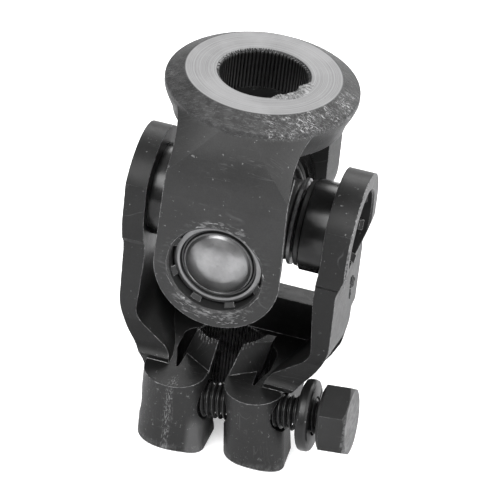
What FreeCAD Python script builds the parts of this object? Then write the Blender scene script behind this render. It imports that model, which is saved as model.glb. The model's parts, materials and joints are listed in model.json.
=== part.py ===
import FreeCAD, Part
import math
import os

# Steering column coupling: a Cardan joint of two forked yokes and a cross.
# Units are millimetres. +Z runs up the column through both bores, X along the
# lower yoke's trunnions, Y along the upper yoke's. Z = 0 is the flat foot of
# the lower clamp, on the axis of its bore.

# ---------------------------------------------------------------- driving dims
ZP = 54.0          # height of the cross centre above the foot
EAR = 25.4         # outer ear face from the centre
EAR_L = 24.3       # the plain, less joggled left ear of the lower yoke
R_HEAD = 13.8      # round of each ear about its pin
R_CUP = 10.05      # bearing cup outside radius, and the ear hole
CUP_IN = 13.75     # cup's open end from the centre
CUP_OUT = 22.9     # cup's closed end from the centre
R_CUP_BORE = 8.62
R_JOURNAL = 6.57
R_NEEDLE = 1.0
R_NEEDLE_PITCH = 7.61
N_NEEDLE = 23

Z_TOP = ZP + 34.2  # machined top ring of the upper yoke
R_RING = 16.9
R_COLLAR = 20.56
R_UP_LAND = 9.4    # crest radius of the upper serrated bore
R_UP_ROOT = 9.8
R_LO_LAND = 8.5    # crest radius of the lower serrated bore
R_LO_ROOT = 8.9
N_SERR = 72

SLOT_R, SLOT_L = 2.3, -1.8   # the two walls of the pinch slot
LUG_Y = -12.0      # centre of each fold
LUG_TOP = ZP - 36.6
SIDE = 15.75       # flat sides of the clamp
REAR = 14.2        # rear face of the clamp
BOLT_Y, BOLT_Z = -12.55, ZP - 43.0
BOLT_TILT = 6.5    # degrees: the bolt lies slack, head end high
R_BOLT = 4.0
R_BOLT_HOLE = 4.6

V = FreeCAD.Vector
O = V(0, 0, 0)
EX, EY, EZ = V(1, 0, 0), V(0, 1, 0), V(0, 0, 1)
os.makedirs("parts", exist_ok=True)


# --------------------------------------------------------------------- helpers
def cyl(r, h, base, axis):
    return Part.makeCylinder(r, h, base, axis)


def box(x0, x1, y0, y1, z0, z1):
    return Part.makeBox(x1 - x0, y1 - y0, z1 - z0, V(x0, y0, z0))


def wire(segs):
    """Closed wire from points; a tuple of two points is an arc (mid, end)."""
    edges = []
    cur = segs[0]
    for s in segs[1:]:
        if isinstance(s, tuple):
            edges.append(Part.Arc(cur, s[0], s[1]).toShape())
            cur = s[1]
        elif isinstance(s, list):
            b = Part.BSplineCurve()
            b.interpolate([cur] + s)
            edges.append(b.toShape())
            cur = s[-1]
        else:
            edges.append(Part.makeLine(cur, s))
            cur = s
    if cur.distanceToPoint(segs[0]) > 1e-6:
        edges.append(Part.makeLine(cur, segs[0]))
    return Part.Wire(edges)


def prism(segs, direction):
    return Part.Face(wire(segs)).extrude(direction)


def yz(y, z, x=-60.0):
    return V(x, y, ZP + z)


def xz(x, z, y=-60.0):
    return V(x, y, ZP + z)


def revolve_x(pts):
    f = Part.Face(wire([V(x, r, 0) for x, r in pts]))
    return f.revolve(O, EX, 360)


def clean(s):
    s = s.removeSplitter()
    return s


def one(s):
    """The largest solid of a result."""
    return sorted(s.Solids, key=lambda q: -q.Volume)[0]


def save(name, shape):
    solids = shape.Solids
    for s in solids:
        if not s.isValid():
            print("invalid solid in", name)
    out = solids[0] if len(solids) == 1 else Part.makeCompound(solids)
    out.exportStep("parts/" + name + ".step")
    print("%-18s solids %3d  volume %10.1f mm3" % (name, len(solids), sum(s.Volume for s in solids)))
    return out


def serration_cut(r_land, r_root, z0, z1, share):
    """V grooves broached round a bore, leaving cylindrical crests between."""
    tools = []
    pitch = 2 * math.pi / N_SERR
    half = pitch * share / 2
    for i in range(N_SERR):
        a = i * pitch
        ri = r_land - 0.35
        p = [V(ri * math.cos(a - half), ri * math.sin(a - half), z0),
             V((r_land + 0.02) * math.cos(a - half), (r_land + 0.02) * math.sin(a - half), z0),
             V(r_root * math.cos(a - half * 0.22), r_root * math.sin(a - half * 0.22), z0),
             V(r_root * math.cos(a + half * 0.22), r_root * math.sin(a + half * 0.22), z0),
             V((r_land + 0.02) * math.cos(a + half), (r_land + 0.02) * math.sin(a + half), z0),
             V(ri * math.cos(a + half), ri * math.sin(a + half), z0)]
        tools.append(prism(p, V(0, 0, z1 - z0)))
    return Part.makeCompound(tools)


def stake_lips(axis, sign, angles):
    """Metal punched over the rim of a pressed cup, as short lips in the hole."""
    lips = []
    for a in angles:
        prof = [V(0, R_CUP + 0.25, 0), V(0, R_CUP - 0.75, 0), V(0.25, R_CUP - 0.8, 0),
                V(0.95, R_CUP - 0.05, 0), V(1.25, R_CUP + 0.25, 0)]
        seg = Part.Face(wire(prof)).revolve(O, EX, 13)
        seg.rotate(O, EX, a - 6.5)
        seg.translate(V(CUP_OUT + 0.02, 0, 0))
        if axis == "x":
            if sign < 0:
                seg.rotate(O, EZ, 180)
        else:
            seg.rotate(O, EZ, 90 * sign)
        seg.translate(V(0, 0, ZP))
        lips.append(seg)
    return lips


# ------------------------------------------------------------------ upper yoke
# Turned hub: machined ring, bevel, collar rim and a hollow neck below it.
hub = Part.Face(wire([
    V(0, 0, ZP + 34.2), V(R_RING - 0.25, 0, ZP + 34.2), V(R_RING, 0, ZP + 34.05),
    V(20.1, 0, ZP + 32.15), (V(20.45, 0, ZP + 31.85), V(R_COLLAR, 0, ZP + 31.4)),
    V(R_COLLAR, 0, ZP + 30.6),
    [V(20.1, 0, ZP + 29.3), V(19.0, 0, ZP + 26.9), V(18.3, 0, ZP + 24.6), V(18.0, 0, ZP + 21.5)],
    V(18.0, 0, ZP + 4), V(0, 0, ZP + 4)])).revolve(O, EZ, 360)

# Fork seen from the side: flat outer faces that draw in to the collar.
side_pts = [yz(-EAR, -20),
            yz(-EAR, 16.0),
            [yz(-25.1, 19.0), yz(-24.5, 22.2), yz(-23.5, 25.2), yz(-22.3, 27.6), yz(-21.1, 29.6),
             yz(-20.0, 31.3), yz(-19.0, 32.6)],
            yz(19.0, 32.6),
            [yz(20.0, 31.3), yz(21.1, 29.6), yz(22.3, 27.6), yz(23.5, 25.2), yz(24.5, 22.2),
             yz(25.1, 19.0), yz(EAR, 16.0)],
            yz(EAR, -20)]
fork = prism(side_pts, V(120, 0, 0))
# Below the rim the shoulders of the ears are turned round with the hub and
# run out into the flat faces.
fork = fork.common(Part.Face(wire([
    V(0, 0, ZP - 30), V(31.0, 0, ZP - 30), V(31.0, 0, ZP + 10.0),
    [V(30.4, 0, ZP + 14.0), V(29.2, 0, ZP + 18.0), V(27.2, 0, ZP + 22.0), V(24.9, 0, ZP + 25.4),
     V(22.4, 0, ZP + 28.6), V(R_COLLAR - 0.05, 0, ZP + 30.9)],
    V(R_COLLAR - 0.05, 0, ZP + 31.3), V(0, 0, ZP + 31.3)])).revolve(O, EZ, 360))
# Fork seen from the front: round end, flanks that flare out under the rim, and
# forging draft, so each ear is a little narrower on its inner side.
EAR_XL, EAR_XR = -13.2, 14.0


def ear_front(dx, y):
    a, b = EAR_XL + dx, EAR_XR - dx
    m = (a + b) / 2
    return wire([xz(a, 0, y), (xz(m, -14.0 + dx, y), xz(b, 0, y)), xz(b - 0.4, 18.0, y),
                 [xz(b - 0.4, 22.0, y), xz(b, 26.0, y), xz(b + 1.2, 29.0, y), xz(b + 3.2, 31.0, y)],
                 xz(b + 3.2, 40, y), xz(a - 3.2, 40, y), xz(a - 3.2, 31.0, y),
                 [xz(a - 1.2, 29.0, y), xz(a, 26.0, y), xz(a + 0.5, 22.0, y), xz(a + 0.5, 18.0, y)]])


halves = []
for s in (-1, 1):
    halves.append(Part.makeLoft([ear_front(0.0, s * EAR), ear_front(3.4, s * 6.0)], True, True))
fork = fork.common(halves[0].fuse(halves[1]))
body = fork.fuse(hub.common(box(-40, 40, -40, 40, ZP + 23.0, ZP + 50)))
# Opening between the ears: flat roof with rounded corners.
ZR, YW, RW = 24.7, 17.2, 5.0
kw = RW * (1 - math.cos(math.pi / 4))
arch_pts = [yz(-18.5, -30), yz(-18.5, 6.0), yz(-YW, ZR - RW),
            (yz(-YW + kw, ZR - kw), yz(-YW + RW, ZR)), yz(YW - RW, ZR),
            (yz(YW - kw, ZR - kw), yz(YW, ZR - RW)), yz(18.5, 6.0), yz(18.5, -30)]
body = body.cut(prism(arch_pts, V(120, 0, 0)))
# Bearing holes and the main bore with its lead-in.
body = body.cut(cyl(R_CUP, 120, V(0, -60, ZP), EY))
body = body.cut(cyl(R_UP_LAND, 60, V(0, 0, ZP + 10), EZ))
body = body.cut(serration_cut(R_UP_LAND, R_UP_ROOT, ZP + 10, ZP + 40, 0.5))
lead = Part.makeCone(R_UP_LAND - 0.4, R_UP_ROOT + 0.55, 1.1, V(0, 0, Z_TOP - 0.9), EZ)
body = body.cut(lead)
# Small breaks on the ear hole mouths.
for s in (-1, 1):
    body = body.cut(Part.makeCone(R_CUP, R_CUP + 0.45, 0.45, V(0, s * (EAR - 0.4), ZP), V(0, s, 0)))
    for lip in stake_lips("y", s, [22, 68, 112, 158, 202, 248, 292, 338]):
        body = body.fuse(lip)
upper_yoke = one(clean(body))

# ------------------------------------------------------------------ lower yoke
# Stamped from plate: two joggled ears, a rear web, and a base wrapped round the
# bore with each side folded back on itself at the front to make a pinch lug.
def sheet_wire(y, head, rear):
    """Section of one joggled side plate; the bend sits lower at the rear."""
    if rear:
        low_in = [xz(19.55, -28.0, y), (xz(19.3, -31.2, y), xz(18.0, -34.0, y)), xz(14.6, -40.0, y),
                  (xz(12.7, -43.0, y), xz(10.7, -46.5, y))]
        low_out = [xz(SIDE, -50.5, y), (xz(16.1, -48.0, y), xz(17.2, -46.0, y)), xz(21.0, -39.5, y),
                   (xz(23.1, -35.0, y), xz(23.9, -29.5, y))]
    else:
        low_in = [xz(19.7, -24.6, y), (xz(19.35, -27.6, y), xz(17.6, -29.7, y)), xz(13.3, -32.6, y),
                  (xz(11.4, -34.4, y), xz(10.7, -37.2, y))]
        low_out = [xz(SIDE, -40.6, y), (xz(16.25, -38.2, y), xz(17.6, -35.9, y)), xz(20.9, -31.7, y),
                   (xz(23.0, -27.6, y), xz(23.75, -22.8, y))]
    d = (head - 23.7)
    return wire([xz(19.55, 16, y), xz(19.55, -1.0, y),
                 [xz(19.35, -4.0, y), xz(18.95, -8.5, y), xz(18.85, -12.0, y)], xz(19.3, -19.0, y)]
                + low_in + [xz(10.7, -54.0, y), xz(SIDE, -54.0, y)] + low_out
                + [xz(23.7, -12.0, y),
                   [xz(23.7 + 0.06 * d, -9.0, y), xz(23.7 + 0.53 * d, -6.2, y),
                    xz(23.7 + 0.91 * d, -3.8, y), xz(head, -1.2, y)],
                   xz(head, 16, y)])


def side_plate(head):
    front = Part.Face(sheet_wire(-24.0, head, False)).extrude(V(0, 24.0 - 10.0, 0))
    back = Part.makeLoft([sheet_wire(-10.0, head, False), sheet_wire(REAR, head, True)], True, True)
    return front.fuse(back)


sheet_r = side_plate(EAR)
sheet_l = side_plate(EAR_L).mirror(O, EX)

# Side view of an ear and of the clamp below it.
ear_side = [yz(-11.25, -8.0), (yz(0, R_HEAD), yz(R_HEAD, 0.0)),
            yz(REAR, -14.0), yz(REAR, -54.0), yz(-19.2, -54.0), yz(-19.2, -36.6),
            yz(-14.6, -36.6), (yz(-12.2, -35.7), yz(-10.7, -33.4)),
            yz(-9.75, -29.0)]
ear_prism = prism(ear_side, V(120, 0, 0))

# Plan of the clamp: lugs, flat sides, rounded rear.
def pl(x, y, z=0.0):
    return V(x, y, z)

RC = 8.0
k = 1 - math.cos(math.pi / 4)
plan = [pl(-SIDE, -8.0), pl(SIDE, -8.0),
        pl(SIDE, REAR - RC), (pl(SIDE - RC * k, REAR - RC * k), pl(SIDE - RC, REAR)),
        pl(-SIDE + RC, REAR), (pl(-SIDE + RC * k, REAR - RC * k), pl(-SIDE, REAR - RC))]
plan_prism = prism(plan, V(0, 0, 120))
# The joggle, the ears and the low rear bend stand outside the clamp plan.
# Their rear corners are bent round.


def round_rear(z, hw, rad=4.5):
    c = rad * (1 - math.cos(math.pi / 4))
    return wire([V(-hw, -12.0, z), V(hw, -12.0, z), V(hw, REAR - rad, z),
                 (V(hw - c, REAR - c, z), V(hw - rad, REAR, z)), V(-hw + rad, REAR, z),
                 (V(-hw + c, REAR - c, z), V(-hw, REAR - rad, z))])


rear_zone = None
levels = [(ZP - 54.0, SIDE), (ZP - 50.5, SIDE), (ZP - 46.0, 17.25), (ZP - 39.5, 21.1), (ZP - 35.0, 23.15),
          (ZP - 29.5, 23.95), (ZP - 26.0, 23.95)]
for (z0, h0), (z1, h1) in zip(levels, levels[1:]):
    part = Part.makeLoft([round_rear(z0, h0), round_rear(z1, h1)], True, True)
    rear_zone = part if rear_zone is None else rear_zone.fuse(part)
upper_zone = rear_zone.fuse(box(-40, 40, -12.0, 40, ZP - 26.0, ZP + 40))
zone = plan_prism.fuse(upper_zone)
base_zone = plan_prism.common(box(-40, 40, -40, 4.0, -1, 60)).fuse(rear_zone)

ears = sheet_r.fuse(sheet_l).common(ear_prism).common(zone)
base = plan_prism.common(box(-40, 40, -40, 40, 0, LUG_TOP)).common(base_zone)
# Each lug is rolled round at its top and spreads to a squarer foot, both feet
# pushed over to the right.
lug_top_r = wire([pl(4.0, -1.0, LUG_TOP), pl(2.4, -8.0, LUG_TOP), pl(2.5, -13.2, LUG_TOP),
                  [pl(3.3, -16.0, LUG_TOP), pl(5.8, -18.4, LUG_TOP), pl(9.3, -19.2, LUG_TOP),
                   pl(12.6, -17.9, LUG_TOP), pl(14.8, -15.3, LUG_TOP), pl(SIDE, -12.0, LUG_TOP)],
                  pl(15.7, -8.3, LUG_TOP), pl(15.1, -1.3, LUG_TOP)])
lug_foot_r = wire([pl(5.0, -1.0), pl(4.4, -8.0), pl(4.4, -13.5),
                   [pl(5.1, -16.4), pl(7.6, -18.3), pl(11.0, -18.9), pl(14.6, -18.7), pl(17.6, -17.4),
                    pl(18.4, -14.5)],
                   pl(18.2, -8.3), pl(15.1, -1.3)])
lug_top_l = wire([pl(-15.1, -1.3, LUG_TOP), pl(-15.7, -8.3, LUG_TOP), pl(-SIDE, -13.0, LUG_TOP),
                  [pl(-15.1, -16.0, LUG_TOP), pl(-13.0, -18.6, LUG_TOP), pl(-9.0, -20.0, LUG_TOP),
                   pl(-5.0, -18.9, LUG_TOP), pl(-2.6, -16.2, LUG_TOP), pl(SLOT_L, -13.0, LUG_TOP)],
                  pl(SLOT_L, -8.0, LUG_TOP), pl(-4.0, -1.0, LUG_TOP)])
lug_foot_l = wire([pl(-15.1, -1.3), pl(-15.7, -8.3), pl(-15.6, -13.4),
                   [pl(-15.1, -16.0), pl(-13.3, -18.2), pl(-9.0, -19.7), pl(-4.4, -19.4), pl(-1.0, -18.3),
                    pl(0.2, -15.4)],
                   pl(0.4, -8.0), pl(-3.0, -1.0)])
lugs = Part.makeLoft([lug_foot_r, lug_top_r], True, True).fuse(Part.makeLoft([lug_foot_l, lug_top_l], True, True))
# Inner flanges beside the slot: the folded-in ends of the strip stand up round
# the bore, both leaning to the right.
def flange(sx, low, high):
    z0, z1 = ZP - 38.0, ZP - 29.8
    return Part.makeLoft([wire([pl(x, y, z0) for x, y in low]), wire([pl(x, y, z1) for x, y in high])], True, True)


flanges = flange(1, [(2.3, -11.9), (2.3, -3.0), (9.2, -3.0), (8.7, -7.0)],
                 [(4.4, -7.2), (4.4, -2.0), (10.4, -2.0), (10.1, -4.1)]).fuse(
    flange(-1, [(-8.9, -6.6), (-8.9, -3.0), (-1.8, -3.0), (-1.8, -11.9)],
           [(-6.4, -6.2), (-6.4, -2.0), (-0.9, -2.0), (-0.9, -8.9)]))
# Rear web between the ears.
web = prism([xz(-SIDE, -54.0), xz(SIDE, -54.0), xz(SIDE, -50.5),
             (xz(16.1, -48.0), xz(17.2, -46.0)), xz(21.0, -39.5),
             (xz(23.1, -35.0), xz(23.8, -29.5)), xz(23.7, -26.0),
             xz(-23.7, -26.0), xz(-23.8, -29.5), (xz(-23.1, -35.0), xz(-21.0, -39.5)), xz(-17.2, -46.0),
             (xz(-16.1, -48.0), xz(-SIDE, -50.5))], V(0, 120, 0))
web = web.common(box(-40, 40, 8.6, REAR, 0, ZP - 27.0)).common(zone)
low = base.fuse(ears).fuse(web)
low = one(low.removeSplitter()).fuse(lugs.Solids[0]).fuse(lugs.Solids[1])
# Bore, slot and the wedge left inside each fold.
low = low.cut(cyl(R_LO_LAND, 60, V(0, 0, -2), EZ))
low = low.cut(prism([xz(SLOT_L, -36.6), xz(SLOT_L, -10.0), xz(SLOT_R, -10.0), xz(SLOT_R, -36.6), xz(4.4, -54.0),
                     xz(4.65, -56.0), xz(0.65, -56.0), xz(0.4, -54.0)], V(0, 60, 0)))
for s in (1, -1):
    wedge = [pl(s * 8.45, -11.9, -2), (pl(s * 8.75, -12.25, -2), pl(s * 9.05, -11.7, -2)),
             pl(s * 9.9, -8.2, -2), pl(s * 10.72, -5.6, -2), pl(s * 10.72, -1.0, -2),
             (pl(s * 10.2, 1.8, -2), pl(s * 8.6, 3.3, -2)), pl(s * 7.4, 2.2, -2), pl(s * 7.9, -3.0, -2)]
    low = low.cut(prism(wedge, V(0, 0, 60)))
low = low.fuse(flanges.cut(cyl(R_LO_LAND, 60, V(0, 0, -2), EZ)))
low = low.cut(serration_cut(R_LO_LAND, R_LO_ROOT, -2, ZP - 20, 0.5))
# Cross hole for the pinch bolt, square to the leaning lugs: clear on the head
# side, tapping size on the far side.
for tool in (cyl(R_BOLT_HOLE, 34, V(-9.6, 0, 0), EX), cyl(3.7, 14, V(-20, 0, 0), EX),
             Part.makeCone(5.4, 3.7, 1.7, V(-16.6, 0, 0), EX)):
    tool.rotate(O, EY, -BOLT_TILT)
    tool.translate(V(0, BOLT_Y, BOLT_Z))
    low = low.cut(tool)
# Bearing holes in the ears.
low = low.cut(cyl(R_CUP, 120, V(-60, 0, ZP), EX))
for s in (-1, 1):
    low = low.cut(Part.makeCone(R_CUP, R_CUP + 0.45, 0.45, V(s * ((EAR if s > 0 else EAR_L) - 0.4), 0, ZP), V(s, 0, 0)))
    for lip in stake_lips("x", s, [20, 65, 115, 160, 200, 245, 295, 340]):
        low = low.fuse(lip)
low = one(clean(low))
lower_yoke = low

# ----------------------------------------------------------------------- cross
# Forged centre with four ground journals.
arm = revolve_x([(-20.3, 0), (-20.3, 6.0), (-19.7, R_JOURNAL), (-11.9, R_JOURNAL), (-11.9, 6.9), (-11.1, 6.9),
                 (-11.1, 8.3), (-10.4, 8.7), (-6, 9.2), (6, 9.2), (10.4, 8.7), (11.1, 8.3),
                 (11.1, 6.9), (11.9, 6.9), (11.9, R_JOURNAL), (19.7, R_JOURNAL), (20.3, 6.0), (20.3, 0)])
arm_y = arm.copy()
arm_y.rotate(O, EZ, 90)
core = arm.fuse(arm_y)
core = core.fuse(Part.makeSphere(11.6).common(box(-12, 12, -12, 12, -8.9, 8.9)))
for ang in (0, 90, 180, 270):
    d = V(math.cos(math.radians(ang)), math.sin(math.radians(ang)), 0)
    core = core.cut(Part.makeCone(0.01, 2.2, 2.0, d * 18.4, d))
core.translate(V(0, 0, ZP))
cross = one(clean(core))

# ------------------------------------------------- bearing parts, built along X
# Cup: drawn shell, end with a raised rim, a groove and a shallow dome.
cup = revolve_x([(CUP_IN, R_CUP - 0.5), (CUP_IN + 0.35, R_CUP), (CUP_OUT - 1.1, R_CUP),
                 (CUP_OUT - 0.45, R_CUP - 0.22), (CUP_OUT - 0.08, R_CUP - 0.75), (CUP_OUT, R_CUP - 1.25),
                 (CUP_OUT - 0.12, R_CUP - 1.75), (CUP_OUT - 0.7, R_CUP - 2.05),
                 (CUP_OUT - 0.75, R_CUP - 2.35), (CUP_OUT - 0.25, R_CUP - 2.75),
                 (CUP_OUT + 0.0, R_CUP - 3.6), (CUP_OUT + 0.22, R_CUP - 5.6), (CUP_OUT + 0.32, 2.0), (CUP_OUT + 0.34, 0),
                 (21.4, 0), (21.4, R_CUP_BORE - 0.3), (21.1, R_CUP_BORE), (14.4, R_CUP_BORE),
                 (14.4, R_CUP - 1.0), (CUP_IN, R_CUP - 1.0)])
needles = []
for i in range(N_NEEDLE):
    a = 2 * math.pi * (i + 0.5) / N_NEEDLE
    n = cyl(R_NEEDLE, 6.3, V(14.9, R_NEEDLE_PITCH * math.cos(a), R_NEEDLE_PITCH * math.sin(a)), EX)
    needles.append(n)
needles = Part.makeCompound(needles)
pad = revolve_x([(20.36, 0), (20.36, 5.6), (20.56, 5.8), (21.2, 5.8), (21.4, 5.6), (21.4, 0)])
# Lip seal: square back in the cup mouth, tapered lip towards the cross.
seal = revolve_x([(14.38, R_CUP - 1.02), (14.38, 7.0), (13.9, 6.95), (12.9, 7.15), (12.35, 7.35), (12.35, 8.5),
                  (12.8, 9.35), (13.7, 9.5), (13.7, R_CUP - 1.02)])
# Pressed shield ring on the journal shoulder.
shield = revolve_x([(11.15, 6.92), (11.15, 9.3), (11.35, 9.5), (12.0, 9.5), (12.0, 9.05), (11.75, 8.85), (11.75, 6.92)])


def place(shape, ang):
    s = shape.copy()
    s.rotate(O, EZ, ang)
    s.translate(V(0, 0, ZP))
    return s


# ---------------------------------------------------------- pinch bolt, washer
def along_bolt(shape):
    s = shape.copy()
    s.rotate(O, EY, -BOLT_TILT)
    s.translate(V(0, BOLT_Y, BOLT_Z))
    return s


HEAD_X = 25.8      # underside of the head, along the bolt from X = 0
HEAD_H = 5.9
AF = 14.3
BOLT_TURN = 22.6
bolt = revolve_x([(-9.0, 0), (-9.0, 3.9), (-8.2, R_BOLT), (HEAD_X - 0.6, R_BOLT), (HEAD_X - 0.6, 6.95),
                  (HEAD_X, 7.1), (HEAD_X, 0)])
hexa = [V(HEAD_X - 0.01, AF / math.sqrt(3) * math.cos(math.radians(60 * i)), AF / math.sqrt(3) * math.sin(math.radians(60 * i)))
        for i in range(6)]
head = prism(hexa, V(HEAD_H, 0, 0))
head = head.common(revolve_x([(HEAD_X - 0.1, 0), (HEAD_X - 0.1, 7.9), (HEAD_X + 0.35, 9.0),
                              (HEAD_X + HEAD_H - 0.95, 9.0), (HEAD_X + HEAD_H, 6.9), (HEAD_X + HEAD_H, 0)]))
head.rotate(O, EX, BOLT_TURN)
bolt = one(clean(bolt.fuse(head)))
# Split spring washer, slightly dished, loose on the shank.
wash = revolve_x([(20.6, 4.4), (20.6, 7.2), (20.9, 7.75), (21.4, 7.95), (22.6, 7.95), (23.1, 7.7), (23.35, 7.2), (23.35, 4.4)])
split = box(15, 30, -0.35, 0.35, 0, 12)
split.rotate(V(22, 0, 0), EZ, 25)
split.rotate(O, EX, -60)
wash = one(clean(wash.cut(split)))

# ---------------------------------------------------------------------- export
save("upper_yoke", upper_yoke)
save("lower_yoke", lower_yoke)
save("cross", cross)
for name, ang in (("right", 0), ("left", 180), ("rear", 90), ("front", 270)):
    save("cup_" + name, place(cup, ang))
    save("needles_" + name, place(needles, ang))
    save("thrust_pad_" + name, place(pad, ang))
    save("seal_" + name, place(seal, ang))
    save("shield_" + name, place(shield, ang))
save("pinch_bolt", along_bolt(bolt))
save("lock_washer", along_bolt(wash))
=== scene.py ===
import json
import math
import random

import bmesh
import bpy
from mathutils import Matrix, Vector

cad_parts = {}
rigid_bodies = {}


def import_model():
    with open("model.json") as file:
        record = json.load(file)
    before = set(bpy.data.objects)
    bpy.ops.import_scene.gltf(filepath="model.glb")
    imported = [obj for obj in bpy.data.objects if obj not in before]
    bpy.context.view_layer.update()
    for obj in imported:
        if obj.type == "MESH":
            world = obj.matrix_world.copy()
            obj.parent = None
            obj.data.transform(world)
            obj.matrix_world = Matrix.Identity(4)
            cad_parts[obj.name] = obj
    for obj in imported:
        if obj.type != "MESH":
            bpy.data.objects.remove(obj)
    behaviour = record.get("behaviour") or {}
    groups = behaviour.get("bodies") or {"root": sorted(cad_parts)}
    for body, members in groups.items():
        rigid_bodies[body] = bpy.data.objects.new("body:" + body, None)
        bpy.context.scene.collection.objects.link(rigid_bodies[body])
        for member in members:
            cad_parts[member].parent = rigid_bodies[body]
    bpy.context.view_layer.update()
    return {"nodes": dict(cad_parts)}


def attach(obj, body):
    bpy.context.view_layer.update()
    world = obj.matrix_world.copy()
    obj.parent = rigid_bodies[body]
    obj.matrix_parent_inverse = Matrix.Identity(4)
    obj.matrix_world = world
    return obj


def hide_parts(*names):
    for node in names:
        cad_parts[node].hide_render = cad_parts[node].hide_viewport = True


for o in list(bpy.data.objects):
    bpy.data.objects.remove(o, do_unlink=True)
random.seed(11)

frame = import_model()
NODES = frame["nodes"]
MM = 0.001
ZP = 54.0


# ------------------------------------------------------------------ node helpers
class Tree:
    def __init__(self, name):
        self.mat = bpy.data.materials.new(name)
        self.mat.use_nodes = True
        self.t = self.mat.node_tree
        self.t.nodes.clear()
        self.out = self.t.nodes.new("ShaderNodeOutputMaterial")
        self.bsdf = self.t.nodes.new("ShaderNodeBsdfPrincipled")
        self.t.links.new(self.bsdf.outputs[0], self.out.inputs[0])
        tc = self.t.nodes.new("ShaderNodeTexCoord")
        self.mm = self.vscale(tc.outputs["Object"], (1000, 1000, 1000))

    def new(self, kind):
        return self.t.nodes.new(kind)

    def put(self, sock, val):
        if hasattr(val, "is_output") or isinstance(val, bpy.types.NodeSocket):
            self.t.links.new(val, sock)
        elif isinstance(val, (tuple, list)) and len(val) == 3 and len(sock.default_value) == 4:
            sock.default_value = (*val, 1.0)
        else:
            sock.default_value = val

    def math(self, op, a, b=0.0, c=0.0, clamp=False):
        n = self.new("ShaderNodeMath")
        n.operation = op
        n.use_clamp = clamp
        for s, v in zip(n.inputs, (a, b, c)):
            self.put(s, v)
        return n.outputs[0]

    def vscale(self, v, s):
        n = self.new("ShaderNodeMapping")
        self.put(n.inputs["Vector"], v)
        n.inputs["Scale"].default_value = s
        return n.outputs[0]

    def vmap(self, v, loc=(0, 0, 0), rot=(0, 0, 0), s=(1, 1, 1)):
        n = self.new("ShaderNodeMapping")
        self.put(n.inputs["Vector"], v)
        n.inputs["Location"].default_value = loc
        n.inputs["Rotation"].default_value = rot
        n.inputs["Scale"].default_value = s
        return n.outputs[0]

    def xyz(self, v):
        n = self.new("ShaderNodeSeparateXYZ")
        self.put(n.inputs[0], v)
        return n.outputs

    def noise(self, v, scale, detail=4.0, rough=0.55, dist=0.0):
        n = self.new("ShaderNodeTexNoise")
        self.put(n.inputs["Vector"], v)
        n.inputs["Scale"].default_value = scale
        n.inputs["Detail"].default_value = detail
        n.inputs["Roughness"].default_value = rough
        n.inputs["Distortion"].default_value = dist
        return n.outputs["Fac"]

    def step(self, x, a, b):
        """0 below a, 1 above b, smooth between (b may be under a)."""
        n = self.new("ShaderNodeMapRange")
        n.interpolation_type = "SMOOTHSTEP"
        self.put(n.inputs["Value"], x)
        if a <= b:
            n.inputs["From Min"].default_value, n.inputs["From Max"].default_value = a, b
            n.inputs["To Min"].default_value, n.inputs["To Max"].default_value = 0.0, 1.0
        else:
            n.inputs["From Min"].default_value, n.inputs["From Max"].default_value = b, a
            n.inputs["To Min"].default_value, n.inputs["To Max"].default_value = 1.0, 0.0
        return n.outputs["Result"]

    def mix(self, f, a, b):
        n = self.new("ShaderNodeMix")
        n.data_type = "RGBA"
        self.put(n.inputs[0], f)
        self.put(n.inputs[6], a)
        self.put(n.inputs[7], b)
        return n.outputs[2]

    def fmix(self, f, a, b):
        n = self.new("ShaderNodeMix")
        n.data_type = "FLOAT"
        self.put(n.inputs[0], f)
        self.put(n.inputs[2], a)
        self.put(n.inputs[3], b)
        return n.outputs[0]

    def edge(self, radius_mm):
        """Bright where the rounded normal leaves the true one: sharp edges."""
        bv = self.new("ShaderNodeBevel")
        bv.samples = 6
        bv.inputs["Radius"].default_value = radius_mm * MM
        geo = self.new("ShaderNodeNewGeometry")
        d = self.new("ShaderNodeVectorMath")
        d.operation = "DOT_PRODUCT"
        self.put(d.inputs[0], bv.outputs[0])
        self.put(d.inputs[1], geo.outputs["Normal"])
        return self.step(d.outputs["Value"], 0.985, 0.80), bv.outputs[0]

    def bump(self, height, strength, dist_mm, normal=None):
        n = self.new("ShaderNodeBump")
        n.inputs["Strength"].default_value = strength
        n.inputs["Distance"].default_value = dist_mm * MM
        self.put(n.inputs["Height"], height)
        if normal is not None:
            self.put(n.inputs["Normal"], normal)
        return n.outputs[0]

    def hair(self, rot, stretch, thr, width, scale=1.0):
        """Long thin scratches lying along one direction."""
        v = self.vmap(self.mm, rot=rot, s=stretch)
        n = self.noise(v, scale, 2.0, 0.5)
        d = self.math("ABSOLUTE", self.math("SUBTRACT", n, thr))
        line = self.step(d, width, width * 0.15)
        gate = self.step(self.noise(self.vmap(self.mm, loc=(7, 3, 1), rot=rot), 0.11, 3.0), 0.54, 0.66)
        return self.math("MULTIPLY", line, gate)


def g(v):
    return (v, v, v * 1.01)


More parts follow.
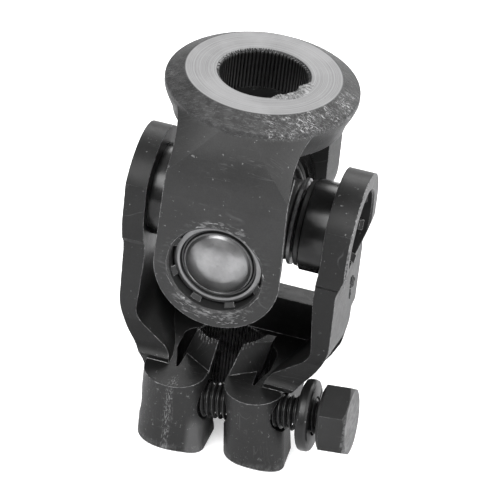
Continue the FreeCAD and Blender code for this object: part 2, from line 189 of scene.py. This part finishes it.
def dark_steel(name, base, lift, rough, edge_r=0.32, edge_amt=0.8, grain=1.0, metal=0.35, spec=0.45, extra=None):
    T = Tree(name)
    big = T.noise(T.mm, 0.07, 4.0, 0.6)
    mid = T.noise(T.mm, 0.55, 6.0, 0.65)
    fine = T.noise(T.mm, 3.4, 5.0, 0.7)
    col = T.mix(T.step(big, 0.35, 0.68), g(base), g(base + lift))
    col = T.mix(T.math("MULTIPLY", T.step(mid, 0.52, 0.74), 0.45), col, g(base + 1.9 * lift))
    col = T.mix(T.math("MULTIPLY", T.step(fine, 0.60, 0.40), 0.35 * grain), col, g(base * 0.55))
    # pin pricks and little dings
    sp = T.noise(T.vmap(T.mm, loc=(3.1, 9.7, 5.2)), 1.25, 2.0, 0.5)
    specks = T.math("MULTIPLY", T.step(sp, 0.70, 0.74), T.step(T.noise(T.mm, 0.16, 2.0), 0.40, 0.55))
    h1 = T.hair((0.2, 0.9, 0.4), (0.07, 2.6, 0.09), 0.50, 0.012)
    h2 = T.hair((1.1, 0.3, 1.5), (0.05, 2.2, 0.08), 0.52, 0.010)
    scr = T.math("MAXIMUM", h1, h2)
    e, bevel_n = T.edge(edge_r)
    rag = T.step(T.noise(T.mm, 0.9, 5.0, 0.7), 0.40, 0.62)
    wear = T.math("MULTIPLY", e, T.math("MULTIPLY_ADD", rag, 0.85, 0.15))
    col = T.mix(T.math("MULTIPLY", scr, 0.16), col, g(0.16))
    col = T.mix(T.math("MULTIPLY", specks, 0.45), col, g(0.22))
    col = T.mix(T.math("MULTIPLY", wear, edge_amt), col, g(0.36))
    rgh = T.math("MULTIPLY_ADD", mid, 0.22, rough - 0.08)
    h = T.math("ADD", T.math("MULTIPLY", fine, 0.5), T.math("MULTIPLY", mid, 0.8))
    h = T.math("SUBTRACT", h, T.math("MULTIPLY", scr, 0.6))
    metal_v = T.math("MULTIPLY_ADD", wear, 0.6, metal, clamp=True)
    st = {"T": T, "col": col, "rgh": rgh, "h": h, "metal": metal_v, "wear": wear, "fine": fine, "mid": mid}
    if extra:
        extra(st)
    T.put(T.bsdf.inputs["Base Color"], st["col"])
    T.bsdf.inputs["Specular IOR Level"].default_value = spec
    T.put(T.bsdf.inputs["Roughness"], st["rgh"])
    T.put(T.bsdf.inputs["Metallic"], st["metal"])
    T.put(T.bsdf.inputs["Normal"], T.bump(st["h"], 0.28 * grain, 0.10, bevel_n))
    return T.mat


# ---------------------------------------------------------------- upper yoke look
def upper_extra(st):
    T = st["T"]
    x, y, z = T.xyz(T.mm)
    r = T.math("SQRT", T.math("ADD", T.math("MULTIPLY", x, x), T.math("MULTIPLY", y, y)))
    top = T.step(z, 88.02, 88.10)
    ring = T.math("MULTIPLY", top, T.math("MULTIPLY", T.step(r, 9.2, 9.5), T.step(r, 16.62, 16.35)))
    # concentric turning marks
    rv = T.new("ShaderNodeCombineXYZ")
    wob = T.noise(T.mm, 0.25, 2.0)
    T.put(rv.inputs[0], T.math("MULTIPLY_ADD", wob, 0.25, r))
    grooves = T.noise(rv.outputs[0], 3.2, 6.0, 0.72)
    broad = T.noise(T.vmap(T.mm, s=(1, 1, 0.2)), 0.10, 3.0)
    c_ring = T.mix(T.step(grooves, 0.34, 0.64), g(0.100), g(0.235))
    c_ring = T.mix(T.math("MULTIPLY", T.step(broad, 0.40, 0.66), 0.5), c_ring, g(0.24))
    pits = T.step(T.noise(T.vmap(T.mm, loc=(1, 5, 2)), 1.6, 3.0), 0.70, 0.74)
    c_ring = T.mix(T.math("MULTIPLY", pits, 0.5), c_ring, g(0.07))
    st["col"] = T.mix(ring, st["col"], c_ring)
    st["rgh"] = T.fmix(ring, st["rgh"], 0.60)
    st["metal"] = T.fmix(ring, st["metal"], 0.25)
    st["h"] = T.math("ADD", st["h"], T.math("MULTIPLY", T.math("MULTIPLY", grooves, ring), 1.4))
    # chipped, scratched bevel; worst at the front right
    bev = T.math("MULTIPLY", T.step(r, 16.4, 16.8), T.math("MULTIPLY", T.step(z, 84.2, 85.2), T.step(r, 21.6, 20.9)))
    away = T.math("DIVIDE", T.math("ADD", T.math("MULTIPLY", x, 0.80), T.math("MULTIPLY", y, -0.60)), r)
    front = T.math("DIVIDE", T.math("MULTIPLY", y, -1.0), r)
    hot = T.math("MULTIPLY", T.step(away, 0.66, 0.93), bev)
    warm = T.math("MULTIPLY", T.step(front, 0.15, 0.8), bev)
    chips = T.step(T.noise(T.vmap(T.mm, rot=(0.3, 0.2, 0.5), s=(1.0, 1.0, 1.6)), 2.1, 9.0, 0.8), 0.50, 0.66)
    small = T.step(T.noise(T.mm, 3.4, 8.0, 0.8), 0.54, 0.68)
    lineb = T.hair((0.1, 0.2, 0.55), (0.10, 2.4, 0.3), 0.5, 0.02)
    amt = T.math("MAXIMUM", T.math("MULTIPLY", hot, chips), T.math("MULTIPLY", T.math("MULTIPLY", bev, small), 0.14))
    amt = T.math("MAXIMUM", amt, T.math("MULTIPLY", T.math("MULTIPLY", warm, small), 0.30))
    amt = T.math("MAXIMUM", amt, T.math("MULTIPLY", T.math("MULTIPLY", bev, lineb), 0.8))
    st["col"] = T.mix(bev, st["col"], T.mix(T.step(st["mid"], 0.35, 0.7), g(0.016), g(0.040)))
    strokes = T.step(T.noise(T.vmap(T.mm, rot=(0.2, 0.5, 0.9), s=(0.55, 3.4, 1.4)), 1.0, 8.0, 0.75), 0.53, 0.60)
    clump = T.step(T.noise(T.vmap(T.mm, loc=(2, 8, 4)), 0.30, 4.0, 0.6), 0.44, 0.60)
    amt = T.math("MULTIPLY", amt, T.math("MULTIPLY_ADD", clump, 0.8, 0.2))
    amt = T.math("MAXIMUM", amt, T.math("MULTIPLY", T.math("MULTIPLY", hot, strokes), T.math("MULTIPLY_ADD", clump, 0.75, 0.25)))
    amt = T.math("MAXIMUM", amt, T.math("MULTIPLY", T.math("MULTIPLY", bev, strokes), 0.12))
    st["col"] = T.mix(T.math("MULTIPLY", amt, 0.85), st["col"], g(0.38))
    st["h"] = T.math("ADD", st["h"], T.math("MULTIPLY", T.math("MULTIPLY", chips, bev), 2.2))
    # scraped metal where the ears were staked
    ay = T.math("ABSOLUTE", y)
    zz = T.math("SUBTRACT", z, ZP)
    rr = T.math("SQRT", T.math("ADD", T.math("MULTIPLY", x, x), T.math("MULTIPLY", zz, zz)))
    rim = T.math("MULTIPLY", T.step(ay, 24.9, 25.2), T.math("MULTIPLY", T.step(rr, 10.0, 10.4), T.step(rr, 12.8, 11.2)))
    scrape = T.step(T.noise(T.vmap(T.mm, s=(0.6, 1, 1.6)), 0.9, 6.0, 0.7), 0.50, 0.60)
    low = T.math("MAXIMUM", T.step(zz, -7.0, -9.5), T.step(zz, 9.4, 10.6))
    st["col"] = T.mix(T.math("MULTIPLY", T.math("MULTIPLY", rim, scrape), T.math("MULTIPLY_ADD", low, 0.5, 0.10)), st["col"], g(0.17))
    # painted shade: the inside wall of the bore is painted near-black
    ins = T.math("MULTIPLY", T.step(r, 10.1, 9.9), T.step(z, 87.6, 86.9))
    st["col"] = T.mix(ins, st["col"], g(0.004))


mat_upper = dark_steel("phosphated_forging", 0.016, 0.007, 0.47, edge_amt=0.9, metal=0.30, spec=0.42, extra=upper_extra)


def lower_extra(st):
    T = st["T"]
    x, y, z = T.xyz(T.mm)
    # sheared lower edges of the lugs are bare
    foot = T.math("MULTIPLY", T.step(z, 2.2, 0.5), T.step(y, -7.0, -9.0))
    rag = T.step(T.noise(T.vmap(T.mm, s=(1.6, 1.6, 0.6)), 0.5, 5.0, 0.7), 0.42, 0.60)
    st["col"] = T.mix(T.math("MULTIPLY", T.math("MULTIPLY", foot, rag), 0.45), st["col"], g(0.13))
    # slot walls and the inner lower corner of the left lug
    inner = T.math("MULTIPLY", T.step(z, 10.0, 6.0), T.math("MULTIPLY", T.step(x, -4.2, -2.6), T.step(x, 0.0, -0.6)))
    st["col"] = T.mix(T.math("MULTIPLY", inner, 0.5), st["col"], g(0.16))
    # burr along the outer edge of the right ear
    ax = T.math("ABSOLUTE", x)
    burr = T.math("MULTIPLY", st["wear"], T.step(ax, 22.5, 23.4))
    st["col"] = T.mix(burr, st["col"], g(0.32))
    # lug fronts: painted lighter as lit faces, real dings on them, and a broken painted highlight streak down the left
    # lug's nose
    lug = T.math("MULTIPLY", T.step(y, -15.0, -18.0), T.step(z, 19, 17))
    ding = T.step(T.noise(T.vmap(T.mm, loc=(4, 4, 4)), 1.0, 5.0, 0.75), 0.60, 0.68)
    # painted light: lug fronts tinted lighter where they face the light
    st["col"] = T.mix(T.math("MULTIPLY", lug, 0.35), st["col"], g(0.028))
    st["col"] = T.mix(T.math("MULTIPLY", T.math("MULTIPLY", lug, ding), 0.45), st["col"], g(0.20))
    # painted highlight: broken bright streak down the left lug's rounded nose
    nose_highlight = T.math("MULTIPLY", T.step(T.math("ABSOLUTE", T.math("SUBTRACT", x, T.math("MULTIPLY_ADD", T.noise(T.mm, 0.35, 3.0), 2.4, -9.2))), 1.3, 0.2),
                 T.step(T.noise(T.vmap(T.mm, s=(3.0, 1, 0.7)), 1.2, 6.0, 0.75), 0.50, 0.58))
    st["col"] = T.mix(T.math("MULTIPLY", T.math("MULTIPLY", lug, nose_highlight), 0.5), st["col"], g(0.24))


mat_lower = dark_steel("phosphated_plate", 0.008, 0.006, 0.42, edge_r=0.30, edge_amt=0.95, grain=1.1, metal=0.35, spec=0.32, extra=lower_extra)


def bolt_extra(st):
    T = st["T"]
    x, y, z = T.xyz(T.mm)
    end = T.step(x, 30.6, 30.9)
    worn = T.step(T.noise(T.vmap(T.mm, s=(1, 0.6, 1.5)), 0.6, 5.0, 0.7), 0.44, 0.6)
    st["col"] = T.mix(T.math("MULTIPLY", T.math("MULTIPLY", end, worn), 0.5), st["col"], g(0.14))


mat_bolt = dark_steel("black_oxide", 0.009, 0.005, 0.42, edge_r=0.25, edge_amt=0.35, grain=0.6, metal=0.35, extra=bolt_extra)
mat_washer = dark_steel("oiled_black", 0.004, 0.002, 0.34, edge_r=0.3, edge_amt=0.10, grain=0.3, metal=0.3)


# --------------------------------------------------------------- cup and bearings
def cup_material(name, along_x):
    T = Tree(name)
    x, y, z = T.xyz(T.mm)
    zz = T.math("SUBTRACT", z, ZP)
    ax = T.math("ABSOLUTE", x if along_x else y)
    b = y if along_x else x
    r = T.math("SQRT", T.math("ADD", T.math("MULTIPLY", b, b), T.math("MULTIPLY", zz, zz)))
    end = T.step(ax, 21.7, 21.9)
    groove = T.math("MULTIPLY", T.step(r, 7.15, 7.55), T.step(r, 8.45, 8.15))
    n = T.noise(T.mm, 0.22, 5.0, 0.6)
    fine = T.noise(T.mm, 2.6, 5.0, 0.7)
    light = T.mix(T.step(n, 0.34, 0.66), g(0.20), g(0.27))
    light = T.mix(T.math("MULTIPLY", T.step(fine, 0.60, 0.70), 0.3), light, g(0.16))
    # painted shade: the cap darkens toward its edge in place of the dome turning away
    light = T.mix(T.math("MULTIPLY", T.step(r, 4.8, 7.1), 0.45), light, g(0.07))
    # painted shade in the end groove
    light = T.mix(T.math("MULTIPLY", groove, 0.85), light, g(0.02))
    # painted shade on the cup's rounded outer corner
    light = T.mix(T.math("MULTIPLY", T.step(r, 9.3, 9.75), 0.85), light, g(0.03))
    dark = T.mix(T.step(n, 0.40, 0.60), g(0.008), g(0.020))
    col = T.mix(end, dark, light)
    T.put(T.bsdf.inputs["Base Color"], col)
    T.put(T.bsdf.inputs["Metallic"], T.fmix(end, 0.55, 0.85))
    T.put(T.bsdf.inputs["Roughness"], T.fmix(end, 0.24, T.math("MULTIPLY_ADD", fine, 0.16, 0.22)))
    dome = T.math("MULTIPLY", T.math("MULTIPLY", T.math("MULTIPLY", r, r), -0.036), T.step(r, 7.4, 7.1))
    T.put(T.bsdf.inputs["Normal"], T.bump(fine, 0.08, 0.05, T.bump(dome, 1.0, 1.0)))
    return T.mat


mat_cup_x = cup_material("cup_satin_x", True)
mat_cup_y = cup_material("cup_satin_y", False)


def plain(name, base, rough, metal, spread=0.3, scale=0.8):
    T = Tree(name)
    n = T.noise(T.mm, scale, 5.0, 0.65)
    T.put(T.bsdf.inputs["Base Color"], T.mix(T.step(n, 0.35, 0.68), g(base * (1 - spread)), g(base * (1 + spread))))
    T.put(T.bsdf.inputs["Roughness"], T.math("MULTIPLY_ADD", n, 0.2, rough - 0.1))
    T.put(T.bsdf.inputs["Metallic"], metal)
    T.put(T.bsdf.inputs["Normal"], T.bump(n, 0.15, 0.05))
    return T.mat


mat_seal = plain("seal_rubber", 0.007, 0.48, 0.0)
mat_shield = plain("shield_steel", 0.10, 0.34, 0.7)
mat_cross = dark_steel("forged_cross", 0.014, 0.008, 0.42, edge_amt=0.4, metal=0.4)
mat_needle = plain("ground_needles", 0.42, 0.22, 1.0, 0.1)
mat_pad = plain("pad_plastic", 0.50, 0.5, 0.0, 0.08)
mat_bare = plain("torn_metal", 0.15, 0.42, 0.45, 0.5, 1.6)


def assign(o, mat):
    o.data.materials.clear()
    o.data.materials.append(mat)


for n, o in NODES.items():
    kind = n.rsplit("_", 1)[0]
    if n == "upper_yoke":
        assign(o, mat_upper)
    elif n == "lower_yoke":
        assign(o, mat_lower)
    elif n == "pinch_bolt":
        assign(o, mat_bolt)
    elif n == "lock_washer":
        assign(o, mat_washer)
    elif n == "cross":
        assign(o, mat_cross)
    elif kind == "cup":
        assign(o, mat_cup_x if n[4:] in ("left", "right") else mat_cup_y)
    elif kind == "needles":
        assign(o, mat_needle)
    elif kind == "thrust_pad":
        assign(o, mat_pad)
    elif kind == "seal":
        assign(o, mat_seal)
    elif kind == "shield":
        assign(o, mat_shield)


# ---------------------------------------------------------------- extra geometry
def mesh_object(name, verts, faces, mat, smooth=True):
    me = bpy.data.meshes.new(name)
    me.from_pydata([tuple(c * MM for c in v) for v in verts], [], faces)
    me.update()
    for p in me.polygons:
        p.use_smooth = smooth
    o = bpy.data.objects.new(name, me)
    bpy.context.scene.collection.objects.link(o)
    me.materials.append(mat)
    return o



def scrap(name, spots, mat, body, seed):
    """Little torn flakes: (centre, normal, along, length, width, lift) in mm."""
    rnd = random.Random(seed)
    verts, faces = [], []
    for c, nrm, along, ln, wd, lift in spots:
        c, nrm, along = Vector(c), Vector(nrm).normalized(), Vector(along).normalized()
        side = nrm.cross(along)
        n = max(3, int(ln / 0.45))
        base = len(verts)
        for i in range(n + 1):
            t = i / n
            env = math.sin(math.pi * min(max(t, 0.06), 0.94)) ** 0.6
            w = wd * env * (0.6 + 0.8 * rnd.random()) * 0.5
            h = lift * env * (0.35 + 0.9 * rnd.random())
            p = c + along * (ln * (t - 0.5)) + side * (rnd.random() - 0.5) * wd * 0.35
            verts.append(p - side * w - nrm * 0.25)
            verts.append(p - side * w * 0.35 + nrm * h * 0.8)
            verts.append(p + side * w * 0.3 + nrm * h)
            verts.append(p + side * w - nrm * 0.25)
        for i in range(n):
            q = base + 4 * i
            for k in range(3):
                faces.append((q + k, q + k + 1, q + k + 5, q + k + 4))
        faces.append((base, base + 3, base + 2, base + 1))
        e = base + 4 * n
        faces.append((e, e + 1, e + 2, e + 3))
    o = mesh_object(name, verts, faces, mat, smooth=False)
    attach(o, body)
    return o


# Staking: punched chips round the front and rear cups, and metal scraped up below.
rs = random.Random(5)


def cup_spots(sy, chips, scrapes):
    out = []
    for deg, rad, ln, wd, lift in chips:
        a = math.radians(deg)
        c = (rad * math.cos(a), sy * 25.32, ZP + rad * math.sin(a))
        out.append((c, (0, sy, 0), (-math.sin(a), 0, math.cos(a)), ln, wd, lift))
    for i in range(scrapes):
        a = math.radians(rs.uniform(-128, -52))
        rad = rs.uniform(11.4, 13.2)
        c = (rad * math.cos(a), sy * 25.36, ZP + rad * math.sin(a))
        out.append((c, (0, sy, 0), (-math.sin(a), 0, math.cos(a)), rs.uniform(0.5, 1.3), rs.uniform(0.2, 0.45), rs.uniform(0.08, 0.2)))
    return out


front = cup_spots(-1, [(-128, 10.6, 2.6, 0.9, 0.35), (-92, 10.7, 2.3, 0.8, 0.35), (-112, 10.9, 3.4, 0.35, 0.2),
                       (-150, 10.6, 4.5, 0.3, 0.22), (-172, 10.5, 4.0, 0.25, 0.18), (112, 10.7, 2.4, 0.8, 0.28),
                       (78, 10.6, 2.2, 0.7, 0.30), (60, 10.5, 2.6, 0.35, 0.2), (8, 10.5, 1.8, 0.7, 0.3),
                       (38, 10.5, 3.4, 0.3, 0.2), (-30, 10.5, 4.2, 0.28, 0.2), (-62, 10.6, 3.4, 0.28, 0.2),
                       (98, 11.6, 3.2, 0.5, 0.16), (88, 12.1, 2.2, 0.4, 0.14), (150, 10.5, 3.2, 0.25, 0.2)], 42)
scrap("staking_front", front, mat_bare, "upper", 3)
scrap("staking_rear", cup_spots(1, [(-128, 10.6, 2.4, 0.8, 0.3), (-60, 10.6, 2.0, 0.7, 0.3), (40, 10.6, 2.4, 0.7, 0.3),
                                    (130, 10.5, 2.4, 0.7, 0.3)], 16), mat_bare, "upper", 9)


# Torn burr on the bore's mouth, front right.
def bore_burr():
    rnd = random.Random(21)
    verts, faces = [], []
    n = 46
    a0, a1 = math.radians(-66), math.radians(4)
    for i in range(n + 1):
        t = i / n
        a = a0 + (a1 - a0) * t
        env = math.sin(math.pi * t) ** 0.7
        rin = 9.55 - env * (0.35 + 1.25 * max(0, math.sin(3.1 * t * math.pi + 0.6)) * (0.5 + 0.5 * rnd.random()))
        rout = 10.6 + env * (0.9 + 0.5 * rnd.random())
        zt = 88.12 + env * (0.22 + 0.42 * rnd.random())
        for r, z in ((9.75, 87.2), (rin, 87.75), (rin + 0.25, zt - 0.05), ((rin + rout) / 2, zt), (rout, 88.13), (rout, 87.9)):
            verts.append((r * math.cos(a), r * math.sin(a), z))
    for i in range(n):
        for k in range(5):
            q = 6 * i + k
            faces.append((q, q + 6, q + 7, q + 1))
    faces.append(tuple(range(6)))
    faces.append(tuple(6 * n + k for k in range(5, -1, -1)))
    o = mesh_object("bore_burr", verts, faces, mat_bare, smooth=False)
    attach(o, "upper")


bore_burr()

# Ragged serration ends, upper left of the bore.
rag = []
for i in range(30):
    a = math.radians(95 + i * 3.4 + rs.uniform(-1, 1))
    rag.append(((9.75 * math.cos(a), 9.75 * math.sin(a), 88.15), (0, 0, 1), (math.cos(a), math.sin(a), 0),
                rs.uniform(0.5, 1.1), 0.35, rs.uniform(0.06, 0.22)))
scrap("bore_rag", rag, mat_upper, "upper", 8)


# Burrs along edges: points on the edge, its outward direction, and a size.
def edge_burr(name, pts, out, mat, body, seed, size=0.28, gap=0.25):
    rnd = random.Random(seed)
    verts, faces = [], []
    out = Vector(out).normalized()
    prev = None
    total = 0
    for a, b in zip(pts, pts[1:]):
        a, b = Vector(a), Vector(b)
        n = max(2, int((b - a).length / 0.35))
        along = (b - a).normalized()
        side = along.cross(out)
        for i in range(n):
            p = a.lerp(b, i / n)
            on = 1.0 if rnd.random() > gap else 0.15
            h = size * on * (0.35 + 0.9 * rnd.random())
            w = size * (0.4 + 0.35 * rnd.random())
            ring = [p - side * w - out * 0.12, p - side * w * 0.3 + out * h, p + side * w * 0.3 + out * h * 0.8,
                    p + side * w - out * 0.12]
            q = len(verts)
            verts.extend(ring)
            if prev is not None:
                for k in range(3):
                    faces.append((prev + k, prev + k + 1, q + k + 1, q + k))
            prev = q
            total += 1
    o = mesh_object(name, verts, faces, mat, smooth=False)
    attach(o, body)
    return o


# Thread on the slack pinch bolt: one helical ridge on a plain core.
def bolt():
    tilt, turn = math.radians(6.5), math.radians(22.6)
    org = Vector((0.0, -12.55, ZP - 43.0))
    ax = Vector((math.cos(tilt), 0, math.sin(tilt)))
    ey = Vector((0, 1, 0))
    ez = ax.cross(ey)
    verts, faces = [], []
    seg, pitch = 28, 1.25
    s0, s1 = -8.9, 25.5
    turns = int((s1 - s0) / pitch)
    prof = [(0.0, 3.42), (0.10, 3.42), (0.50, 3.98), (0.68, 3.98), (1.08, 3.42)]
    rows = turns * seg + 1
    for i in range(rows):
        a = 2 * math.pi * i / seg
        for ds, r in prof:
            sft = s0 + pitch * i / seg + ds
            end = min(1.0, max(0.0, (sft - s0) / 1.2))
            rr = 3.42 + (r - 3.42) * end
            p = org + ax * min(sft, s1 + 0.2) + (ey * math.cos(a) + ez * math.sin(a)) * rr
            verts.append(p)
    m = len(prof)
    for i in range(rows - 1):
        for k in range(m - 1):
            q = i * m + k
            faces.append((q, q + 1, q + m + 1, q + m))
    # flat end
    c = len(verts)
    verts.append(org + ax * s0)
    for i in range(seg + 1):
        a = 2 * math.pi * i / seg
        verts.append(org + ax * s0 + (ey * math.cos(a) + ez * math.sin(a)) * 3.45)
    for i in range(seg):
        faces.append((c, c + 1 + i, c + 2 + i))
    o = mesh_object("bolt_thread", verts, faces, mat_thread, smooth=False)
    # the head, with its chamfer and washer face, kept from the modelled bolt
    src = NODES["pinch_bolt"]
    bm = bmesh.new()
    bm.from_mesh(src.data)
    mw = src.matrix_world
    drop = []
    for f in bm.faces:
        c = mw @ f.calc_center_median() / MM
        d = (c - org).dot(ax)
        if d < 25.0:
            drop.append(f)
    bmesh.ops.delete(bm, geom=drop, context="FACES")
    bmesh.ops.transform(bm, matrix=mw, verts=bm.verts)
    me = bpy.data.meshes.new("bolt_head")
    bm.to_mesh(me)
    bm.free()
    me.materials.clear()
    me.materials.append(mat_bolt)
    head = bpy.data.objects.new("bolt_head", me)
    bpy.context.scene.collection.objects.link(head)
    for q in (o, head):
        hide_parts("pinch_bolt")
        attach(q, "lower")


mat_thread = dark_steel("black_thread", 0.010, 0.006, 0.36, edge_r=0.12, edge_amt=0.55, grain=0.4, metal=0.4)
bolt()

chip = [((25.45, -3.6, ZP - 9.6), (1, 0, 0), (0, 0.4, 1), 2.8, 1.3, 0.35), ((25.45, -2.2, ZP - 10.6), (1, 0, 0), (0, 1, 0.5), 2.4, 1.0, 0.35),
        ((25.42, -3.4, ZP - 13.0), (1, 0, 0), (0, -0.25, 1), 3.2, 0.25, 0.12), ((25.45, -4.6, ZP - 8.6), (1, 0, 0), (0, 0.2, 1), 1.8, 0.7, 0.3)]
scrap("stake_chip_right", chip, mat_bolt, "lower", 44)
mat_line = plain("edge_line", 0.10, 0.42, 0.4, 0.6, 1.2)
ear_r = [(14.0, -25.4, ZP + 1.0), (13.8, -25.4, ZP + 9.0), (13.62, -25.36, ZP + 15.5), (13.6, -24.7, ZP + 20.5),
         (13.75, -22.2, ZP + 25.0)]
edge_burr("upper_ear_edge", ear_r, (1, -0.6, 0), mat_line, "upper", 31, 0.13, 0.35)
# Ear and lug edges with a torn shear burr.
ear_edge = [(25.35, 13.75 * math.cos(math.radians(t)) * -1, ZP + 13.75 * math.sin(math.radians(t))) for t in range(88, -30, -6)]
edge_burr("ear_burr_right", [(x, y, z) for x, y, z in ear_edge if z > ZP - 7.0], (1, -0.5, 0.2), mat_bare, "lower", 4, 0.22, 0.35)
foot_r = [(5.1, -16.4, 0.15), (6.3, -17.5, 0.15), (7.6, -18.3, 0.15), (9.3, -18.75, 0.15), (11.0, -18.9, 0.15), (12.8, -18.85, 0.15), (14.6, -18.7, 0.15), (16.3, -18.2, 0.15), (17.6, -17.4, 0.15), (18.2, -16.1, 0.15), (18.4, -14.5, 0.15), (18.25, -9.0, 0.15)]
foot_l = [(-15.1, -16.0, 0.15), (-14.3, -17.3, 0.15), (-13.3, -18.2, 0.15), (-11.3, -19.2, 0.15), (-9.0, -19.7, 0.15), (-6.7, -19.7, 0.15), (-4.4, -19.4, 0.15), (-2.6, -19.0, 0.15), (-1.0, -18.3, 0.15), (-0.2, -17.1, 0.15), (0.2, -15.4, 0.15)]
edge_burr("foot_burr_right", foot_r, (0.1, -1, 0.1), mat_bare, "lower", 14, 0.25, 0.45)
top_r = [(3.3, -16.0), (4.4, -17.4), (5.8, -18.4), (7.5, -19.05), (9.3, -19.2), (11.1, -18.75), (12.6, -17.9), (13.8, -16.8), (14.8, -15.3), (15.4, -13.7)]
top_l = [(-15.1, -16.0), (-14.2, -17.5), (-13.0, -18.6), (-11.1, -19.7), (-9.0, -20.0), (-7.0, -19.75), (-5.0, -18.9), (-3.7, -17.7), (-2.6, -16.2), (-2.0, -14.6)]
edge_burr("lug_rim_right", [(x, y, 17.35) for x, y in top_r], (0, -0.6, 0.8), mat_bare, "lower", 24, 0.13, 0.35)
edge_burr("lug_rim_left", [(x, y, 17.35) for x, y in top_l], (0, -0.6, 0.8), mat_bare, "lower", 25, 0.10, 0.5)
edge_burr("foot_burr_left", foot_l, (0.1, -1, 0.1), mat_bare, "lower", 15, 0.16, 0.6)


# ------------------------------------------------------------------------- stage
def stage_material():
    T = Tree("pale_floor")
    n = T.noise(T.mm, 0.01, 2.0)
    T.put(T.bsdf.inputs["Base Color"], T.mix(n, g(0.88), g(0.90)))
    T.put(T.bsdf.inputs["Roughness"], 0.9)
    lp = T.new("ShaderNodeLightPath")
    T.bsdf.inputs["Emission Color"].default_value = (1, 1, 1, 1)
    T.put(T.bsdf.inputs["Emission Strength"], T.math("MULTIPLY", lp.outputs["Is Camera Ray"], 0.40))
    return T.mat


bpy.ops.mesh.primitive_plane_add(size=6.0, location=(0, 0, -0.0002))
floor = bpy.context.object
floor.name = "floor"
assign(floor, stage_material())

world = bpy.data.worlds.new("studio")
bpy.context.scene.world = world
world.use_nodes = True
wt = world.node_tree
bg = wt.nodes["Background"]
bg.inputs[0].default_value = (1, 1, 1, 1)
wtc = wt.nodes.new("ShaderNodeTexCoord")
wsep = wt.nodes.new("ShaderNodeSeparateXYZ")
wt.links.new(wtc.outputs["Generated"], wsep.inputs[0])


def wramp(sock, a, b, lo, hi):
    n = wt.nodes.new("ShaderNodeMapRange")
    n.interpolation_type = "SMOOTHSTEP"
    n.inputs["From Min"].default_value, n.inputs["From Max"].default_value = a, b
    n.inputs["To Min"].default_value, n.inputs["To Max"].default_value = lo, hi
    wt.links.new(sock, n.inputs["Value"])
    return n.outputs["Result"]


def wmath(op, a, b):
    n = wt.nodes.new("ShaderNodeMath")
    n.operation = op
    for sck, v in zip(n.inputs, (a, b)):
        if isinstance(v, float):
            sck.default_value = v
        else:
            wt.links.new(v, sck)
    return n.outputs[0]


# Dark studio walls with a bright ceiling and a bright right side.
up = wramp(wsep.outputs["Z"], 0.15, 0.85, 0.0, 0.95)
right = wmath("MULTIPLY", wramp(wsep.outputs["X"], 0.45, 0.80, 0.0, 1.1), wramp(wsep.outputs["Y"], 0.2, -0.25, 0.0, 1.0))
low = wmath("ADD", wmath("ADD", up, right), 0.30)
lpw = wt.nodes.new("ShaderNodeLightPath")
cam_ray = lpw.outputs["Is Camera Ray"]
mixw = wmath("ADD", wmath("MULTIPLY", low, wmath("SUBTRACT", 1.0, cam_ray)), cam_ray)
wt.links.new(mixw, bg.inputs[1])


def area(name, loc, target, size, power):
    d = bpy.data.lights.new(name, "AREA")
    d.shape = "RECTANGLE"
    d.size, d.size_y = size
    d.energy = power
    o = bpy.data.objects.new(name, d)
    o.location = loc
    o.rotation_mode = "QUATERNION"
    o.rotation_quaternion = (Vector(target) - Vector(loc)).to_track_quat("-Z", "Y")
    bpy.context.scene.collection.objects.link(o)
    return o


area("key", (-0.25, -0.55, 0.75), (0, 0, 0.05), (0.5, 0.5), 7.0)
area("side", (0.75, -0.25, 0.45), (0, 0, 0.05), (0.35, 0.6), 5.0)
area("back", (0.1, 0.8, 0.6), (0, 0, 0.05), (0.8, 0.4), 6.0)

# ------------------------------------------------------------------------ camera
O = Vector((0.0, 0.0, ZP * MM))
C = O + Vector((0.1035, -0.4947, 0.3347))
R = Vector((0.958, 0.269, 0.103))
U = Vector((-0.235, 0.523, 0.819))
R.normalize()
U = (U - R * U.dot(R)).normalized()
B = R.cross(U)
cam = bpy.data.cameras.new("camera")
cam.sensor_width = 36.0
cam.lens = 2823.7 / 500 * 36
cam.clip_start, cam.clip_end = 0.05, 20
cam.dof.use_dof = False
co = bpy.data.objects.new("camera", cam)
co.matrix_world = Matrix.Translation(C) @ Matrix((R, U, B)).transposed().to_4x4()
bpy.context.scene.collection.objects.link(co)
bpy.context.scene.camera = co
bpy.context.scene.view_settings.view_transform = "Standard"
